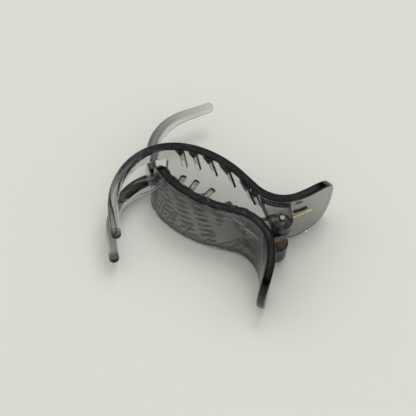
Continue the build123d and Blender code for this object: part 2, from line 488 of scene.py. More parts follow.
    def middle_outline(self, place: np.ndarray, level: np.ndarray) -> np.ndarray:
        """The distance to the front shell's outline: a round-cornered body with one prong.

        Args:
            place: Places along the wall.
            level: Levels of the points.

        Returns:
            Distance in the wall's own surface, negative inside.
        """
        past_side = level - self.half_width(place)
        body = rounded_corner(-place - self.body_length, past_side, radius=self.body_corner)
        root = self.fork_half_gap_outer - self.middle_prong_gap
        high = blend(root, self.prong_tip_radius, self.prong_share(place), self.middle_prong_taper)
        prong = np.maximum(level - high, place + self.body_length - self.body_corner)
        return soft_union(body, prong, self.fork_corner)

    def outline(self, place: np.ndarray, offset: np.ndarray, level: np.ndarray) -> np.ndarray:
        """The distance to the wall's outline.

        Args:
            place: Places along the wall.
            offset: Offsets from the wall's middle.
            level: Levels of the points.

        Returns:
            Distance in the wall's own surface, negative inside.
        """
        if self.side is Side.BACK:
            jaw = self.fork_outline(place, offset, level)
        else:
            jaw = self.middle_outline(place, level)
        return np.where(place > self.handle_widest_at, self.handle_outline(place, level), jaw)

    def wall_field(self, place: np.ndarray, offset: np.ndarray, level: np.ndarray) -> np.ndarray:
        """The distance to the wall with its prongs and rounded rims.

        Args:
            place: Places along the wall.
            offset: Offsets from the wall's middle.
            level: Levels of the points.

        Returns:
            Signed distance, negative inside.
        """
        share = self.prong_share(place)
        half = blend(self.wall / 2.0, self.prong_tip_radius, share, self.wall_taper)
        tip_rim = self.prong_rim_share * self.prong_tip_radius
        rim = blend(self.rim_round, tip_rim, share, self.rim_taper)
        outline = self.outline(place, offset, level)
        past_tip = -place - self.plan.jaw_end() - rim
        return rounded_corner(outline, np.abs(offset) - half, past_tip, radius=rim)

    def rib_outlines(self, rib: Rib, place: np.ndarray, level: np.ndarray) -> tuple[np.ndarray, np.ndarray]:
        """The distances to the outlines of a rib's bar and of its gusset.

        Args:
            rib: The rib.
            place: Places along the wall.
            level: Levels of the points.

        Returns:
            Distances in the wall's surface to the bar and to the gusset, negative inside.
        """
        root_place = rib.root_share * self.body_length
        tip_place = rib.tip_share * self.body_length
        root_level = float(self.half_width(np.array(root_place))) - self.rib_inset
        tip_level = rib.height_share * self.waist_half_width
        run = tip_place - root_place
        rise = tip_level - root_level
        share = ((place - root_place) * run + (level - root_level) * rise) / (run * run + rise * rise)
        share = np.clip(share, 0.0, 1.0)
        bar = np.hypot(place - root_place - share * run, level - root_level - share * rise)
        bar = bar - self.rib_width / 2.0
        bar_side = root_place - self.rib_width / 2.0
        top = root_level + self.rib_width / 2.0
        corners = (
            (bar_side - self.gusset_reach * rib.reach_share, top),
            (bar_side + self.gusset_foot_share * self.rib_width, root_level - self.gusset_drop),
            (bar_side + self.rib_width, top),
        )
        return bar, polygon_field(corners, place, level)

    def rib_field(self, rib: Rib, place: np.ndarray, height: np.ndarray, level: np.ndarray) -> np.ndarray:
        """The distance to one rib with its gusset.

        Args:
            rib: The rib.
            place: Places along the wall.
            height: Heights off the inner face.
            level: Levels of the points.

        Returns:
            Signed distance, negative inside.
        """
        bar, gusset = self.rib_outlines(rib, place, level)
        above = height - self.rib_height
        solid = rounded_corner(bar, above, radius=self.rib_edge)
        solid = np.minimum(solid, rounded_corner(gusset, above, radius=self.gusset_edge))
        return np.maximum(solid, -height - self.foot_sink)

    def ledge_outlines(self, place: np.ndarray, z: np.ndarray) -> tuple[np.ndarray, np.ndarray]:
        """The distances to the sides of the ledge beside the spring's leg.

        Args:
            place: Places along the wall.
            z: Z of the points.

        Returns:
            Distances past the ledge's ends and past its long sides.
        """
        wire_radius = self.hinge.wire_diameter / 2.0
        leg_level = self.side.value * (self.hinge.coil_half() - wire_radius)
        level = leg_level + self.side.value * (wire_radius + self.ledge_leg_gap + self.ledge_width / 2.0)
        along = np.abs(place - self.ledge_at - self.ledge_length / 2.0) - self.ledge_length / 2.0
        return along, np.abs(z - level) - self.ledge_width / 2.0

    def ledge_field(self, place: np.ndarray, height: np.ndarray, z: np.ndarray) -> np.ndarray:
        """The distance to the low bar beside the spring's leg.

        Args:
            place: Places along the wall.
            height: Heights off the inner face.
            z: Z of the points.

        Returns:
            Signed distance, negative inside.
        """
        along, across = self.ledge_outlines(place, z)
        solid = rounded_corner(along, across, height - self.ledge_depth, radius=self.ledge_edge)
        return np.maximum(solid, -height - self.foot_sink)

    def ear_outline(self, x: np.ndarray, y: np.ndarray) -> np.ndarray:
        """The distance in plan to an ear: a tongue from the wall to a round nose about the pin.

        Args:
            x: X of the points from the pin.
            y: Y of the points, positive on the shell's own side.

        Returns:
            Signed distance, negative inside.
        """
        nose = self.hinge.ear_radius
        left = self.plan.point(self.hinge.ear_root_start)[:2]
        right = self.plan.point(self.hinge.ear_root_end)[:2]
        touches = []
        for (root_x, root_y), sign in ((left, 1.0), (right, -1.0)):
            angle = math.atan2(root_y, root_x)
            angle += sign * math.acos(nose / math.hypot(root_x, root_y))
            touches.append((nose * math.cos(angle), nose * math.sin(angle)))
        corners = (left, touches[0], touches[1], right)
        return np.minimum(polygon_field(corners, x, y), np.hypot(x, y) - nose)

    def ear_field(self, x: np.ndarray, y: np.ndarray, level: np.ndarray) -> np.ndarray:
        """The distance to an ear with its rounded edges.

        Args:
            x: X of the points from the pin.
            y: Y of the points, positive on the shell's own side.
            level: Levels of the points.

        Returns:
            Signed distance, negative inside.
        """
        low, high = self.hinge.ear_span(self.side)
        across = np.abs(level - (low + high) / 2.0) - (high - low) / 2.0
        return rounded_corner(self.ear_outline(x, y), across, radius=self.hinge.ear_edge)

    def gate(self, place: np.ndarray, z: np.ndarray) -> np.ndarray:
        """Share of the small dimple that the mould's gate leaves on the back handle."""
        along = (place - self.gate_at[0]) / self.gate_size[0]
        return fade(np.hypot(along, (z - self.gate_at[1]) / self.gate_size[1]), *self.gate_edge)

    def weave(self, place: np.ndarray, z: np.ndarray) -> np.ndarray:
        """The shallow crossing leaves that the mould leaves on the front shell's inner face.

        Args:
            place: Places along the wall.
            z: Z of the points.

        Returns:
            Height of the relief, negative between the leaves.
        """
        rows = np.sin(math.pi * (z - self.leaf_slant * place) / self.leaf_width)
        leaves = np.sin(math.pi * (place + self.leaf_slant * z) / self.leaf_length)
        leaves = np.sign(leaves) * np.sqrt(np.abs(leaves))
        from_ends = soft_step(place, *self.weave_start) * fade(place, *self.weave_end)
        from_rims = fade(np.abs(z), *self.weave_rim)
        return self.leaf_height * rows * leaves * from_ends * from_rims

    def field(self, x: np.ndarray, y: np.ndarray, z: np.ndarray) -> np.ndarray:
        """Signed distance to the whole shell.

        Args:
            x: X of the points from the pin's middle.
            y: Y of the points.
            z: Z of the points.

        Returns:
            Distance in millimetres, negative inside the plastic.
        """
        own_y = y * self.side.value
        place, offset = self.plan.locate(x, own_y)
        level = np.abs(z)
        height = self.height(offset)
        solid = self.wall_field(place, offset, level)
        if self.side is Side.FRONT:
            solid = solid - self.weave(place, z) * soft_step(height, -self.wall / 2.0, -self.leaf_skin)
        else:
            solid = solid + self.gate_depth * self.gate(place, z) * soft_step(height, *self.gate_skin)
        for rib in self.ribs:
            solid = soft_union(solid, self.rib_field(rib, place, height, level), self.rib_fillet)
        solid = soft_union(solid, self.ledge_field(place, height, z), self.rib_fillet)
        solid = soft_union(solid, self.ear_field(x, own_y, level), self.ear_fillet)
        bore = self.hinge.pin_diameter / 2.0 + self.hinge.pin_clearance
        return np.maximum(solid, bore - np.hypot(x, y))

    def box(self) -> tuple[np.ndarray, np.ndarray]:
        """The space that holds the shell.

        Returns:
            Its lowest and highest corner.
        """
        places = np.linspace(-self.plan.jaw_end(), self.plan.grip_end(), self.box_places)
        spots = [self.plan.point(float(place)) for place in places]
        xs = [spot[0] for spot in spots]
        ys = [spot[1] for spot in spots]
        nose = self.hinge.ear_radius
        low = np.array([min(xs), min(min(ys), -nose), -self.shoulder_half_width]) - self.wall
        high = np.array([max(max(xs), nose), max(ys), self.shoulder_half_width]) + self.wall
        if self.side is Side.FRONT:
            low[1], high[1] = -high[1], -low[1]
        return low, high


@dataclass(frozen=True)
class ShellPaintedShade:
    """Painted shade on a shell's surface from place to place, in shares from 0 to 1.

    A value whose name ends in skin is a span of heights off the inner face, and one that ends in
    edge is a span of distances past an outline. Both are in millimetres.
    """

    form: ShellForm
    # Rims get painted shade, darkest at the lips and lighter in the middle as a painted reflection.
    rim_shares: Span = (-0.7, -0.2)
    rim_middle: dict[Side, float] = field(default_factory=lambda: {Side.BACK: 0.5, Side.FRONT: 0.7})
    rim_lip: float = 0.995
    lip_run: Span = (0.2, 0.9)
    prong_clear: dict[Side, float] = field(default_factory=lambda: {Side.BACK: 0.45, Side.FRONT: 0.85})
    tip: dict[Side, float] = field(default_factory=lambda: {Side.BACK: 0.8, Side.FRONT: 0.0})
    tip_run: Span = (2.2, 1.1)
    grip: float = 0.55
    grip_run: Span = (6.0, 15.0)
    raised_skin: Span = (-0.1, 0.3)
    raised_top: Span = (1.2, 2.0)
    body_start: float = 3.0
    cheek: float = 0.8
    cheek_from: float = 0.2
    band: float = 0.93
    band_edge: Span = (-5.0, -4.0)
    stroke_crest: Span = (0.3, 0.85)
    stroke_skin: Span = (-0.8, -0.1)
    rib_line: float = 0.95
    rib_line_edge: Span = (0.15, 0.4)
    rib_line_skin: Span = (-0.3, 0.1)
    gusset_edge: Span = (-0.1, 0.15)
    gusset_skin: Span = (0.1, 0.3)
    gusset_rim_edge: Span = (-1.1, -0.8)
    knob: float = 0.75
    knob_edge: Span = (-0.6, 0.1)
    knob_below: Span = (0.0, 1.0)
    knob_levels: Span = (6.5, 9.5)
    gate_skin: Span = (-0.7, -0.3)
    # Painted contact shadow under the spring's leg.
    leg_shadow_run: Span = (14.8, 23.0)
    leg_shadow_width: float = 0.5
    leg_shadow_shares: Span = (0.3, 0.8)
    leg_shadow_end: float = 0.5
    leg_shadow_skin: Span = (-0.3, -0.1)
    ear_flank: float = 0.97
    ear_face: dict[Side, float] = field(default_factory=lambda: {Side.BACK: 0.4, Side.FRONT: 0.1})
    ear_flank_edge: Span = (-0.35, -0.1)
    ear_skin: Span = (0.3, 0.8)
    ear_margin: float = 0.4
    ledge_edge: Span = (0.0, 0.3)

    def rims(self, place: np.ndarray, offset: np.ndarray, past_rim: np.ndarray) -> np.ndarray:
        """Painted shade on the rims, darkest at the lips, with a lighter middle as a painted reflection,
        and clearer prongs.

        Args:
            place: Places along the wall.
            offset: Offsets from the wall's middle.
            past_rim: Distances past the wall's outline.

        Returns:
            Shares of painted shade.
        """
        side = self.form.side
        near, past = self.rim_shares
        rim = soft_step(past_rim, near * self.form.rim_round, past * self.form.rim_round)
        lip = soft_step(np.abs(offset), *self.lip_run)
        middle = self.rim_middle[side]
        dark = rim * (middle + (self.rim_lip - middle) * lip)
        return dark * (1.0 - self.prong_clear[side] * self.form.prong_share(place))

    def ends(self, place: np.ndarray) -> np.ndarray:
        """Painted shade at the prong tips, and the thumb handle darker towards its end.

        Args:
            place: Places along the wall.

        Returns:
            Shares of painted shade at the tips and of darkening on the handle.
        """
        end = self.form.plan.jaw_end()
        tip = soft_step(-place, end - self.tip_run[0], end - self.tip_run[1])
        return darkest(self.tip[self.form.side] * tip, self.grip * soft_step(place, *self.grip_run))

    def front_body(
        self, place: np.ndarray, offset: np.ndarray, z: np.ndarray, past_rim: np.ndarray
    ) -> np.ndarray:
        """Painted shade over the front shell's outer face, deepest near its outline, and painted shade
        strokes along the leaves of its inner face.

        Args:
            place: Places along the wall.
            offset: Offsets from the wall's middle.
            z: Z of the points.
            past_rim: Distances past the wall's outline.

        Returns:
            Shares of painted shade.
        """
        form = self.form
        on_body = soft_step(place, -form.body_length, -form.body_length + self.body_start)
        # Painted shade over the outer face, deeper near the outline.
        cheek = self.cheek + (self.band - self.cheek) * soft_step(past_rim, *self.band_edge)
        cheek = cheek * soft_step(offset, self.cheek_from, form.wall / 2.0)
        # Painted shade strokes on the crests of the inner face's leaves.
        strokes = soft_step(form.weave(place, z) / form.leaf_height, *self.stroke_crest)
        strokes = strokes * soft_step(form.height(offset), *self.stroke_skin)
        return on_body * darkest(cheek, strokes)

    def rib_shade(
        self, place: np.ndarray, z: np.ndarray, height: np.ndarray, past_rim: np.ndarray
    ) -> np.ndarray:
        """Painted shade on the ribs: dark outlines, filled gussets and dark knobs of the lower row.

        Args:
            place: Places along the wall.
            z: Z of the points.
            height: Heights off the inner face.
            past_rim: Distances past the wall's outline.

        Returns:
            Shares of painted shade.
        """
        level = np.abs(z)
        dark = np.zeros_like(past_rim)
        for rib in self.form.ribs:
            bar, gusset = self.form.rib_outlines(rib, place, level)
            line = self.rib_line * fade(np.abs(bar), *self.rib_line_edge)
            line = line * soft_step(height, *self.rib_line_skin)
            fill = fade(gusset, *self.gusset_edge) * soft_step(height, *self.gusset_skin)
            fill = fill * fade(past_rim, *self.gusset_rim_edge)
            knob = self.knob * fade(bar, *self.knob_edge) * soft_step(-z, *self.knob_below)
            knob = knob * fade(level, *self.knob_levels)
            dark = darkest(dark, line, fill, knob)
        return dark

    def leg_contact_shadow(self, place: np.ndarray, z: np.ndarray, height: np.ndarray) -> np.ndarray:
        """A painted contact shadow under the spring's leg on the back handle.

        Args:
            place: Places along the wall.
            z: Z of the points.
            height: Heights off the inner face.

        Returns:
            Shares of painted shadow.
        """
        hinge = self.form.hinge
        level = hinge.coil_half() - hinge.wire_diameter - self.leg_shadow_width / 2.0
        near, past = self.leg_shadow_shares
        first, last = self.leg_shadow_run
        leg_shadow = fade(np.abs(z - level), near * self.leg_shadow_width, past * self.leg_shadow_width)
        leg_shadow = leg_shadow * soft_step(place, first - self.leg_shadow_end, first)
        leg_shadow = leg_shadow * fade(place, last - self.leg_shadow_end, last)
        return leg_shadow * soft_step(height, *self.leg_shadow_skin)

    def ears(self, x: np.ndarray, y: np.ndarray, level: np.ndarray, height: np.ndarray) -> np.ndarray:
        """Painted shade on the ears, dark round their flanks and lighter on their flat faces.

        Args:
            x: X of the points from the pin.
            y: Y of the points, positive on the shell's own side.
            level: Levels of the points.
            height: Heights off the inner face.

        Returns:
            Shares of painted shade.
        """
        low, high = self.form.hinge.ear_span(self.form.side)
        on_ear = soft_step(level, low - self.ear_margin, low) * fade(level, high, high + self.ear_margin)
        on_ear = on_ear * soft_step(height, *self.ear_skin)
        flank = soft_step(self.form.ear_outline(x, y), *self.ear_flank_edge)
        face = self.ear_face[self.form.side]
        return (face + (self.ear_flank - face) * flank) * on_ear

    def share(self, x: np.ndarray, y: np.ndarray, z: np.ndarray) -> np.ndarray:
        """Share of painted shade at points of the surface.

        Args:
            x: X of the points from the pin's middle.
            y: Y of the points.
            z: Z of the points.

        Returns:
            Shares from 0 to 1, high at the rims, the gussets, the ribs' edges and the ledge.
        """
        form = self.form
        own_y = y * form.side.value
        place, offset = form.plan.locate(x, own_y)
        level = np.abs(z)
        height = form.height(offset)
        past_rim = form.outline(place, offset, level)
        raised = soft_step(height, *self.raised_skin) * fade(height, *self.raised_top)
        # Painted shade on the ledge beside the spring's leg.
        ledge = fade(np.maximum(*form.ledge_outlines(place, z)), *self.ledge_edge) * raised
        rims = self.rims(place, offset, past_rim)
        dark = darkest(rims, self.ends(place), self.ears(x, own_y, level, height), ledge)
        if form.side is Side.FRONT:
            return darkest(dark, self.front_body(place, offset, z, past_rim))
        # Painted shade on the ribs and in the gate's dimple.
        marks = raised * self.rib_shade(place, z, height, past_rim)
        gate = form.gate(place, z) * soft_step(height, *self.gate_skin)
        return darkest(dark, marks, gate, self.leg_contact_shadow(place, z, height))


def add_object(name: str, data: bpy.types.ID) -> bpy.types.Object:
    """Puts a new object in the scene.

    Args:
        name: The object's name.
        data: The mesh, lamp or lens that it holds.

    Returns:
        The new object.
    """
    holder = bpy.data.objects.new(name, data)
    bpy.context.scene.collection.objects.link(holder)
    return holder


def add_mesh(
    name: str, verts: list[Vector], faces: list[tuple[int, ...]], painted_shade: np.ndarray | None = None
) -> bpy.types.Object:
    """A new smooth-shaded mesh object.

    Args:
        name: The piece's name.
        verts: The mesh's points in metres.
        faces: The points of each face.
        painted_shade: Share of painted shade at each point, where the finish reads it.

    Returns:
        The new object.
    """
    mesh = bpy.data.meshes.new(name)
    mesh.from_pydata(verts, [], faces)
    mesh.shade_smooth()
    if painted_shade is not None:
        # Painted shade is kept at each point for the finish to read.
        kept = mesh.attributes.new("painted_shade", "FLOAT", "POINT")
        kept.data.foreach_set("value", np.asarray(painted_shade, dtype=np.float32))
    return add_object(name, mesh)


@dataclass(frozen=True)
class Skin:
    """Turns a distance field into a smooth closed mesh of small quads."""

    cell: float = FINE_CELL
    settle_rounds: int = 3
    evening: float = 0.5
    least_slope: float = 0.2
    probe: float = 0.02

    def sample(self, solid: Field, low: np.ndarray, high: np.ndarray) -> np.ndarray:
        """Takes the field on a grid.

        Args:
            solid: The distance field.
            low: Lowest corner of the grid.
            high: Highest corner that the grid covers.

        Returns:
            Field values at the grid's corners.
        """
        axes = [np.arange(low[i], high[i] + self.cell, self.cell) for i in range(3)]
        x, y = np.meshgrid(axes[0], axes[1], indexing="ij")
        slabs = [solid(x, y, np.full_like(x, level)).astype(np.float32) for level in axes[2]]
        return np.stack(slabs, axis=2)

    def crossings(self, grid: np.ndarray) -> tuple[np.ndarray, np.ndarray]:
        """One point for each cell that the surface passes through.

        Args:
            grid: Field values at the grid's corners.

        Returns:
            Index of each cell's point, or -1, and the points in cell units.
        """
        shape = tuple(n - 1 for n in grid.shape)
        total = np.zeros(shape + (3,), dtype=np.float32)
        count = np.zeros(shape, dtype=np.float32)
        for axis in range(3):
            first = np.take(grid, range(grid.shape[axis] - 1), axis=axis)
            second = np.take(grid, range(1, grid.shape[axis]), axis=axis)
            crossed = (first < 0) != (second < 0)
            gap = np.where(crossed, first - second, 1.0)
            share = np.where(crossed, first / gap, 0.0)
            others = [other for other in range(3) if other != axis]
            for pair in ((0, 0), (0, 1), (1, 0), (1, 1)):
                cut = [slice(None)] * 3
                for other, step in zip(others, pair):
                    cut[other] = slice(step, step + shape[other])
                part = crossed[tuple(cut)]
                count += part
                total[..., axis] += np.where(part, share[tuple(cut)], 0.0)
                for other, step in zip(others, pair):
                    total[..., other] += part * float(step)
        held = count > 0
        index = np.full(shape, -1, dtype=np.int64)
        index[held] = np.arange(int(held.sum()))
        return index, np.argwhere(held) + total[held] / count[held][:, None]

    def quads(self, grid: np.ndarray, index: np.ndarray) -> np.ndarray:
        """The faces round each grid edge that the surface crosses.

        Args:
            grid: Field values at the grid's corners.
            index: Index of each cell's point.

        Returns:
            Four point indices for each face, facing outwards.
        """
        faces = []
        for axis in range(3):
            one, two = [(1, 2), (2, 0), (0, 1)][axis]
            first = np.take(grid, range(grid.shape[axis] - 1), axis=axis) < 0
            second = np.take(grid, range(1, grid.shape[axis]), axis=axis) < 0
            for leaving in (True, False):
                edges = np.argwhere(first & ~second if leaving else ~first & second)
                ring = []
                for step_one, step_two in ((1, 1), (0, 1), (0, 0), (1, 0)):
                    cell = edges.copy()
                    cell[:, one] -= step_one
                    cell[:, two] -= step_two
                    ring.append(index[cell[:, 0], cell[:, 1], cell[:, 2]])
                face = np.stack(ring, axis=1)
                faces.append(face if leaving else face[:, ::-1])
        return np.concatenate(faces)

    def slope(self, solid: Field, points: np.ndarray) -> np.ndarray:
        """The direction in which the field grows fastest.

        Args:
            solid: The distance field.
            points: The points, a row for each.

        Returns:
            The field's gradient at each point.
        """
        columns = []
        for axis in range(3):
            step = np.zeros(3)
            step[axis] = self.probe
            columns.append(solid(*(points + step).T) - solid(*(points - step).T))
        return np.stack(columns, axis=1) / (2.0 * self.probe)

    def settle(self, solid: Field, points: np.ndarray, faces: np.ndarray) -> tuple[np.ndarray, np.ndarray]:
        """Evens the points out over the surface and seats them on it.

        Args:
            solid: The distance field.
            points: The mesh's points.
            faces: The mesh's quads.

        Returns:
            Seated points and their outward normals.
        """
        ends = np.concatenate([faces[:, [i, (i + 1) % 4]] for i in range(4)])
        count = np.bincount(ends.ravel(), minlength=len(points))[:, None]
        for turn in range(self.settle_rounds + 1):
            slope = self.slope(solid, points)
            size = np.maximum((slope * slope).sum(axis=1, keepdims=True), self.least_slope)
            move = solid(*points.T)[:, None] * slope / size
            points = points - np.clip(move, -self.cell / 2.0, self.cell / 2.0)
            if turn == self.settle_rounds:
                break
            total = np.zeros_like(points)
            np.add.at(total, ends[:, 0], points[ends[:, 1]])
            np.add.at(total, ends[:, 1], points[ends[:, 0]])
            points = points + self.evening * (total / count - points)
        slope = self.slope(solid, points)
        return points, slope / np.linalg.norm(slope, axis=1, keepdims=True)

    def build(
        self, name: str, solid: Field, painted_shade: Field, low: np.ndarray, high: np.ndarray
    ) -> bpy.types.Object:
        """A closed mesh of the solid, placed about the pin.

        Args:
            name: The piece's name.
            solid: The distance field.
            painted_shade: Share of painted shade at a point, kept with the mesh's points.
            low: Lowest corner of the space that holds the solid.
            high: Highest corner of that space.

        Returns:
            The new object.
        """
        grid = self.sample(solid, low, high)
        index, cells = self.crossings(grid)
        faces = self.quads(grid, index)
        points, normals = self.settle(solid, low + cells * self.cell, faces)
        verts = (points * MM + np.array(PIN)).tolist()
        piece = add_mesh(name, verts, faces.tolist(), painted_shade(*points.T))
        piece.data.normals_split_custom_set_from_vertices(normals.tolist())
        return piece


def add_node(
    tree: bpy.types.NodeTree, kind: str, values: dict[str | int, object] | None = None, **settings: object
) -> bpy.types.Node:
    """Adds a node to a tree.

    Args:
        tree: The node tree.
        kind: The node's type.
        values: Values of its inputs, by name or number.
        settings: The node's own settings, such as its operation.

    Returns:
        The new node.
    """
    node = tree.nodes.new(kind)
    for label, setting in settings.items():
        setattr(node, label, setting)
    for label, value in (values or {}).items():
        node.inputs[label].default_value = value
    return node


def new_group(
    name: str, inputs: dict[str, str], outputs: dict[str, str]
) -> tuple[bpy.types.NodeTree, bpy.types.Node, bpy.types.Node]:
    """An empty node group with its sockets.

    Args:
        name: The group's name.
        inputs: Kind of each input, by name.
        outputs: Kind of each output, by name.

    Returns:
        The group, the node of its inputs and the node of its outputs.
    """
    group = bpy.data.node_groups.new(name, "ShaderNodeTree")
    for way, sockets in (("INPUT", inputs), ("OUTPUT", outputs)):
        for label, kind in sockets.items():
            group.interface.new_socket(label, in_out=way, socket_type=f"NodeSocket{kind}")
    return group, group.nodes.new("NodeGroupInput"), group.nodes.new("NodeGroupOutput")


@dataclass(frozen=True)
class SurfaceMarks:
    """The faint waves, fine scratches and finger haze that every finish has."""

    name: str = "surface_marks"
    wave_detail: float = 1.0
    scratch_detail: float = 6.0
    scratch_distortion: float = 0.6
    scratch_stretch: tuple[float, float, float] = (1.0, 1.0, 0.12)
    scratch_from: float = 0.52
    scratch_full: float = 0.72
    scratch_depth: float = 0.06

    def group(self) -> bpy.types.NodeTree:
        """The node group, built once.

        Returns:
            Group with inputs Wave Size, Scratch Size, Haze and Base, and outputs Height,
            Roughness and Mask.
        """
        if self.name in bpy.data.node_groups:
            return bpy.data.node_groups[self.name]
        inputs = dict.fromkeys(("Wave Size", "Scratch Size", "Haze", "Base"), "Float")
        outputs = dict.fromkeys(("Height", "Roughness", "Mask"), "Float")
        group, start, end = new_group(self.name, inputs, outputs)
        place = add_node(group, "ShaderNodeTexCoord")
        waves = add_node(group, "ShaderNodeTexNoise", {"Detail": self.wave_detail})
        detail = {"Detail": self.scratch_detail, "Distortion": self.scratch_distortion}
        streaks = add_node(group, "ShaderNodeTexNoise", detail)
        stretch = add_node(group, "ShaderNodeMapping", {"Scale": self.scratch_stretch})
        span = {"From Min": self.scratch_from, "From Max": self.scratch_full}
        mask = add_node(group, "ShaderNodeMapRange", span)
        haze = add_node(group, "ShaderNodeMath", operation="MULTIPLY_ADD")
        height = add_node(group, "ShaderNodeMath", {1: self.scratch_depth}, operation="MULTIPLY_ADD")
        group.links.new(place.outputs["Object"], waves.inputs["Vector"])
        group.links.new(place.outputs["Object"], stretch.inputs["Vector"])
        group.links.new(stretch.outputs["Vector"], streaks.inputs["Vector"])
        group.links.new(start.outputs["Wave Size"], waves.inputs["Scale"])
        group.links.new(start.outputs["Scratch Size"], streaks.inputs["Scale"])
        group.links.new(streaks.outputs["Fac"], mask.inputs["Value"])
        group.links.new(mask.outputs["Result"], haze.inputs[0])
        group.links.new(start.outputs["Haze"], haze.inputs[1])
        group.links.new(start.outputs["Base"], haze.inputs[2])
        group.links.new(mask.outputs["Result"], height.inputs[0])
        group.links.new(waves.outputs["Fac"], height.inputs[2])
        group.links.new(height.outputs["Value"], end.inputs["Height"])
        group.links.new(haze.outputs["Value"], end.inputs["Roughness"])
        group.links.new(mask.outputs["Result"], end.inputs["Mask"])
        return group


@dataclass(frozen=True)
class WearAndShadeTint:
    """The darker colour where a piece's points keep painted shade, or where its finish is worn."""

    name: str = "wear_and_shade_tint"

    def group(self) -> bpy.types.NodeTree:
        """The node group, built once.

        Returns:
            Group with inputs Light, Dark and Wear, and output Color.
        """
        if self.name in bpy.data.node_groups:
            return bpy.data.node_groups[self.name]
        inputs = {"Light": "Color", "Dark": "Color", "Wear": "Float"}
        group, start, end = new_group(self.name, inputs, {"Color": "Color"})
        # Painted shade from the points, joined with the worn mask.
        painted_shade = add_node(group, "ShaderNodeAttribute", attribute_name="painted_shade")
        share = add_node(group, "ShaderNodeMath", operation="MAXIMUM")
        mix = add_node(group, "ShaderNodeMix", data_type="RGBA")
        group.links.new(start.outputs["Wear"], share.inputs[0])
        group.links.new(painted_shade.outputs["Fac"], share.inputs[1])
        group.links.new(share.outputs["Value"], mix.inputs["Factor"])
        group.links.new(start.outputs["Light"], mix.inputs["A"])
        group.links.new(start.outputs["Dark"], mix.inputs["B"])
        group.links.new(mix.outputs["Result"], end.inputs["Color"])
        return group


@dataclass(frozen=True, kw_only=True)
class Finish:
    """What every finish shares: its name and its faint surface marks."""

    name: str
    base_roughness: float = 0.03
    haze: float = 0.05
    wave_size: float = 120.0
    scratch_size: float = 900.0
    relief: float = 0.00002

    def start(self) -> tuple[bpy.types.Material, bpy.types.Node, bpy.types.Node]:
        """A material with a shader whose roughness and normal carry the marks.

        Returns:
            The material, its shader, and the node that holds the marks.
        """
        material = bpy.data.materials.new(self.name)
        material.use_nodes = True
        tree = material.node_tree
        shader = tree.nodes["Principled BSDF"]
        values = {
            "Wave Size": self.wave_size,
            "Scratch Size": self.scratch_size,
            "Haze": self.haze,
            "Base": self.base_roughness,
        }
        marks = add_node(tree, "ShaderNodeGroup", values, node_tree=SurfaceMarks().group())
        bump = add_node(tree, "ShaderNodeBump", {"Strength": 1.0, "Distance": self.relief})
        tree.links.new(marks.outputs["Height"], bump.inputs["Height"])
        tree.links.new(marks.outputs["Roughness"], shader.inputs["Roughness"])
        tree.links.new(bump.outputs["Normal"], shader.inputs["Normal"])
        return material, shader, marks

    def tint(
        self, tree: bpy.types.NodeTree, shader: bpy.types.Node, light: Colour, dark: Colour
    ) -> bpy.types.Node:
        """Colours the shader by the painted shade that the piece's points keep.

        Args:
            tree: The material's node tree.
            shader: Its shader.
            light: Colour where there is no painted shade.
            dark: Colour where the painted shade is full.

        Returns:
            The node that holds the tint.
        """
        values = {"Light": light, "Dark": dark, "Wear": 0.0}
        tint = add_node(tree, "ShaderNodeGroup", values, node_tree=WearAndShadeTint().group())
        tree.links.new(tint.outputs["Color"], shader.inputs["Base Color"])
        return tint


@dataclass(frozen=True, kw_only=True)
class SmokyPlastic(Finish):
    """Clear moulded plastic with a smoky dye all through it, and painted shade where its points keep it."""

    name: str = "smoky_plastic"
    dye: Colour = (0.1, 0.1, 0.12, 1.0)
    dye_strength: float = 70.0
    light_bend: float = 1.54
    sheen_tint: Colour = (0.32, 0.32, 0.34, 1.0)
    clear: Colour = (1.0, 1.0, 1.0, 1.0)
    painted_shade_colour: Colour = (0.0005, 0.0005, 0.0007, 1.0)

    def make(self) -> bpy.types.Material:
        """Builds the material.

        Returns:
            The new material.
        """
        material, shader, _ = self.start()
        tree = material.node_tree
        # Painted shade darkens the plastic's colour where its points keep it.
        self.tint(tree, shader, self.clear, self.painted_shade_colour)
        shader.inputs["Metallic"].default_value = 0.0
        shader.inputs["Transmission Weight"].default_value = 1.0
        shader.inputs["IOR"].default_value = self.light_bend
        shader.inputs["Specular Tint"].default_value = self.sheen_tint
        depth = {"Color": self.dye, "Density": self.dye_strength}
        dye = add_node(tree, "ShaderNodeVolumeAbsorption", depth)
        tree.links.new(dye.outputs["Volume"], tree.nodes["Material Output"].inputs["Volume"])
        return material


@dataclass(frozen=True, kw_only=True)
class PlatedMetal(Finish):
    """Steel with a thin coloured plating that is lightly worn, and painted shade where the piece's points
    keep it.
    """

    bright: Colour
    worn_and_shaded: Colour

    def make(self) -> bpy.types.Material:
        """Builds the material.

        Returns:
            The new material.
        """
        material, shader, marks = self.start()
        tint = self.tint(material.node_tree, shader, self.bright, self.worn_and_shaded)
        material.node_tree.links.new(marks.outputs["Mask"], tint.inputs["Wear"])
        shader.inputs["Metallic"].default_value = 1.0
        return material


@dataclass(frozen=True, kw_only=True)
class Paper(Finish):
    """The plain pale sheet that the clip lies on."""

    name: str = "pale_sheet"
    base_roughness: float = 0.85
    wave_size: float = 300.0
    colour: Colour = (0.72, 0.715, 0.645, 1.0)
    sheen: float = 0.2

    def make(self) -> bpy.types.Material:
        """Builds the material.

        Returns:
            The new material.
        """
        material, shader, _ = self.start()
        shader.inputs["Base Color"].default_value = self.colour
        shader.inputs["Specular IOR Level"].default_value = self.sheen
        return material


def dress(piece: bpy.types.Object, body: str, node: str, material: bpy.types.Material) -> None:
    """Gives a piece its material, sets it on its body and hides the solid that it stands for.

    Args:
        piece: The piece.
        body: The body that it rides on.
        node: The solid that it stands for.
        material: Its finish.
    """
    piece.data.materials.clear()
    piece.data.materials.append(material)
    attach(piece, body)
    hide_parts(node)
    LOG.info("%s: %d faces on body %s", piece.name, len(piece.data.polygons), body)


